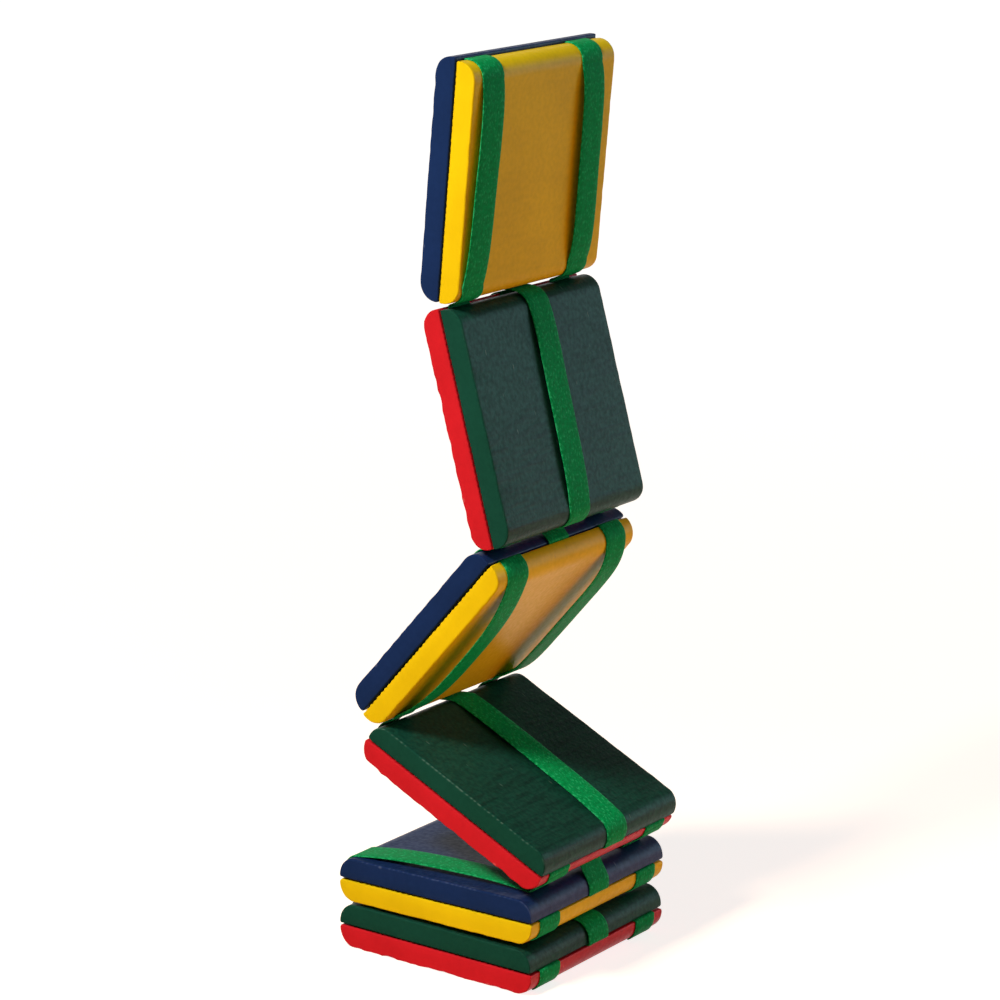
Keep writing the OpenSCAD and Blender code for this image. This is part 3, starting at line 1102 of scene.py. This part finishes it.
def crossing_route(hinge, from_upper_face):
    """Points from the face of one block to the end of the other."""
    half_opening = math.radians(OPENING[hinge]) / 2
    square = math.pi / 2 - half_opening
    axes = (upper_axis[hinge], lower_axis[hinge])
    face_axis, end_axis = axes if from_upper_face else axes[::-1]
    distance = abs(end_axis - face_axis)
    onward = (end_axis - face_axis) / distance
    ends = 1j * onward
    if (ends * (-direction[hinge + 1]).conjugate()).real < 0:
        ends = -ends

    def on_face(a):
        return face_axis + CROSSING_RADIUS * (onward * math.cos(a) - ends * math.sin(a))

    def on_end(a):
        return end_axis + CROSSING_RADIUS * (ends * math.sin(a) - onward * math.cos(a))

    leave = min(half_opening, math.acos(CROSSING_RADIUS / (distance / 2)))
    way = on_face(leave) - end_axis
    bearing = math.atan2((way * ends.conjugate()).real, -(way * onward.conjugate()).real)
    land = min(square, bearing + math.acos(min(1, CROSSING_RADIUS / abs(way))))
    shares = [i / TURN_STEPS for i in range(TURN_STEPS + 1)]
    points = [on_face(half_opening + (leave - half_opening) * x) for x in shares]
    return points + [on_end(land + (square - land) * x) for x in shares]


print("points on a crossing:", len(crossing_route(1, True)))

# %% Split a crossing at its middle
def halves(hinge, route):
    """The two halves of a crossing, which meet midway between the axes of the hinge."""
    points = even_steps(route, RIBBON_STEP)
    across_hinge = lower_axis[hinge] - upper_axis[hinge]
    halfway = (upper_axis[hinge] + lower_axis[hinge]) / 2

    def from_halfway(i):
        return abs(((points[i] - halfway) * across_hinge.conjugate()).real)

    split = min(range(len(points)), key=from_halfway)
    split = min(max(split, 2), len(points) - 3)
    return points[:split + 1], points[split:]


print("steps in the halves at hinge 1:", [len(h) - 1 for h in halves(1, crossing_route(1, True))])

# %% Make the crossings
crossings = []
for hinge in HINGES:
    pair = f"{hinge}{hinge + 1}"
    for track in TRACKS:
        from_upper_face = (track != "centre") == (fold_side(hinge) == FRONT)
        face_block, end_block = (hinge, hinge + 1) if from_upper_face else (hinge + 1, hinge)
        face_end = 1 if from_upper_face else 0
        drift = DRIFTS.get((face_block, track, fold_side(hinge)), STRAIGHT)[face_end]
        face_half, end_half = halves(hinge, crossing_route(hinge, from_upper_face))
        for part, route, drifts, block, outer, inner in (
            ("face", face_half, (drift, drift / 2), face_block, face_half[0], face_half[-1]),
            ("end", end_half, (drift / 2, 0.0), end_block, end_half[-1], end_half[0]),
        ):
            strip = make_strip(f"hinge_{pair}_{track}_{part}_satin", route, track, drifts)
            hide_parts(f"hinge_{pair}_{track}_ribbon")
            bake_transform(strip)
            crossings.append(strip)
print("crossing strips:", len(crossings))

# %% [markdown]
# ## Glue
# A thin film of dried wood glue fills each joint between the ribbons. It could be sculpted
# with drips, but it lies deep in the gap, so the plain solid is enough with a material.

# %% Glue
GLUE_DARK, GLUE_LIGHT = "#6E5A38", "#A08655"
GLUE_CLOUDS = 4 * MM
GLUE_IOR, GLUE_ROUGHNESS = 1.46, 0.6


def dried_glue():
    # To the eye, old wood glue is a matt, cloudy amber that only shows as a thin line.
    material, tree = new_material("dried_wood_glue")
    place = add_node(tree, "ShaderNodeTexCoord").outputs["Object"]
    cloud = add_node(
        tree, "ShaderNodeTexNoise", Vector=place, Scale=1 / GLUE_CLOUDS, Detail=3.0
    ).outputs["Fac"]
    colour = add_node(
        tree, "ShaderNodeMix", TINT, _0=cloud, _6=linear(GLUE_DARK), _7=linear(GLUE_LIGHT)
    ).outputs[2]
    finish_material(tree, add_node(
        tree, "ShaderNodeBsdfPrincipled",
        Base_Color=colour, Roughness=GLUE_ROUGHNESS, IOR=GLUE_IOR,
    ))
    return material


glue = dried_glue()
for block in BLOCKS:
    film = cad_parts[f"block_{block}_glue_film"]
    film.data.materials.clear()
    film.data.materials.append(glue)
print("glue films:", len(BLOCKS))

# %% [markdown]
# ## The table
# The toy stands on a plain pale table, which the picture shows as white. More light would
# make it white, and wash the paint out too. So to the camera and in reflections the table
# glows a little on top of what the lamps give it, and the soft shadow stays. Light Path
# tells which ray asks.

# %% Rays that look at the background
def looks(tree):
    """1 for a ray from the camera, from a gloss or through glass, and 0 for other light."""
    rays = add_node(tree, "ShaderNodeLightPath").outputs
    seen = rays["Is Camera Ray"]
    for ray in ("Is Glossy Ray", "Is Transmission Ray"):
        seen = add_node(
            tree, "ShaderNodeMath", {"operation": "ADD"}, _0=seen, _1=rays[ray]
        ).outputs[0]
    return seen


print("a glow of 1 renders as", linear("#FFFFFF")[0], "which is white")

# %% Finish of the table
TABLE_COLOUR = "#E6BE9A"
GLOW_NEAR, GLOW_FAR = 0.8, 1.0
# The glow rises to white between these distances from the toy, in metres
GLOW_FADES = (0.2, 0.9)

# To the eye, the table is a matt white sheet with a soft, slightly warm shadow on it
table_finish, tree = new_material("pale_table")
spot = add_node(tree, "ShaderNodeTexCoord").outputs["Object"]
away = add_node(
    tree, "ShaderNodeVectorMath", {"operation": "LENGTH"}, _0=spot
).outputs["Value"]
level = add_node(
    tree, "ShaderNodeMapRange", Value=away, To_Min=GLOW_NEAR, To_Max=GLOW_FAR,
    From_Min=GLOW_FADES[0], From_Max=GLOW_FADES[1],
).outputs[0]
strength = add_node(
    tree, "ShaderNodeMath", {"operation": "MULTIPLY"}, _0=looks(tree), _1=level
).outputs[0]
matt = add_node(tree, "ShaderNodeBsdfDiffuse", Color=linear(TABLE_COLOUR)).outputs[0]
glow = add_node(tree, "ShaderNodeEmission", Strength=strength).outputs[0]
finish_material(tree, add_node(tree, "ShaderNodeAddShader", _0=matt, _1=glow))
print("table finish:", table_finish.name, "with", len(tree.nodes), "nodes")

# %% Floor
HALF_FLOOR = 12.0
FLOOR_SINKS = 0.02 * MM
floor_mesh = bpy.data.meshes.new("floor")
corners = [(x * HALF_FLOOR, y * HALF_FLOOR, 0) for x, y in ((-1, -1), (1, -1), (1, 1), (-1, 1))]
floor_mesh.from_pydata(corners, [], [(0, 1, 2, 3)])
floor_mesh.materials.append(table_finish)
floor = bpy.data.objects.new("floor", floor_mesh)
floor.location.z = -FLOOR_SINKS
bpy.context.collection.objects.link(floor)
print("floor:", 2 * HALF_FLOOR, "m square")

# %% [markdown]
# ## Light
# A small soft box near the toy's front left corner lights the painted sides and throws soft
# shadows under the leaning blocks. A window far behind it on the right gives the cool sheen
# on the second block. The faces that look right get the warm light that comes up from the
# table there, and a card that lies on the table stands in for it. One sky texture would
# light it all, but these three can be set one by one.

# %% Lamps
LAMP_AIM = Vector((0, 0, 0.09))


def soft_box(name, azimuth, distance, height, size, power, colour):
    """A square lamp that faces the toy. Azimuth is measured like the camera's."""
    a = math.radians(azimuth)
    place = Vector((math.sin(a) * distance, -math.cos(a) * distance, height))
    lamp = bpy.data.objects.new(name, bpy.data.lights.new(name, "AREA"))
    lamp.data.shape, lamp.data.size = "SQUARE", size
    lamp.data.energy, lamp.data.color = power, linear(colour)[:3]
    lamp.visible_camera = False
    lamp.location = place
    lamp.rotation_mode = "QUATERNION"
    lamp.rotation_quaternion = (place - LAMP_AIM).to_track_quat("Z", "Y")
    bpy.context.collection.objects.link(lamp)


# Degrees, then metres, then watts
soft_box(
    "key_soft_box", azimuth=-10, distance=0.50, height=0.61, size=0.14, power=5.3, colour="#FFFFFF"
)
soft_box(
    "cool_window", azimuth=142, distance=1.6, height=0.40, size=0.9, power=7.3, colour="#AAE7FF"
)
soft_box(
    "warm_card", azimuth=116, distance=0.22, height=0.03, size=0.18, power=0.17, colour="#FF7C48"
)

# %% [markdown]
# ## The room
# Beyond the table stands a sheet of white paper, and the room above it is dim. The paper
# gives the flat blue top its grey sheen. It could be a curved mesh, but the world does as
# well: rays that look at it find white near the horizon, and other light finds a dim room.

# %% Room and paper
ROOM_LEVEL = 0.05
# The paper fades between these rises of a ray, as sines of its angle
PAPER_FADES = (0.28, 0.50)

world = bpy.data.worlds.new("studio")
bpy.context.scene.world = world
world.use_nodes = True
tree = world.node_tree
tree.nodes.clear()
ray = add_node(tree, "ShaderNodeTexCoord").outputs["Generated"]
rise = add_node(tree, "ShaderNodeSeparateXYZ", Vector=ray).outputs["Z"]
paper = add_node(
    tree, "ShaderNodeMapRange", Value=rise, To_Min=1.0, To_Max=ROOM_LEVEL,
    From_Min=PAPER_FADES[0], From_Max=PAPER_FADES[1],
).outputs[0]
level = add_node(
    tree, "ShaderNodeMapRange", Value=looks(tree), To_Min=ROOM_LEVEL, To_Max=paper
).outputs[0]
room = add_node(tree, "ShaderNodeBackground", Color=linear("#FFFFFF"), Strength=level)
add_node(tree, "ShaderNodeOutputWorld", Surface=room.outputs[0])
bpy.context.scene.view_settings.view_transform = "Standard"
paper_top = math.degrees(math.asin(PAPER_FADES[1]))
print("room level:", ROOM_LEVEL, "paper up to", round(paper_top), "degrees")
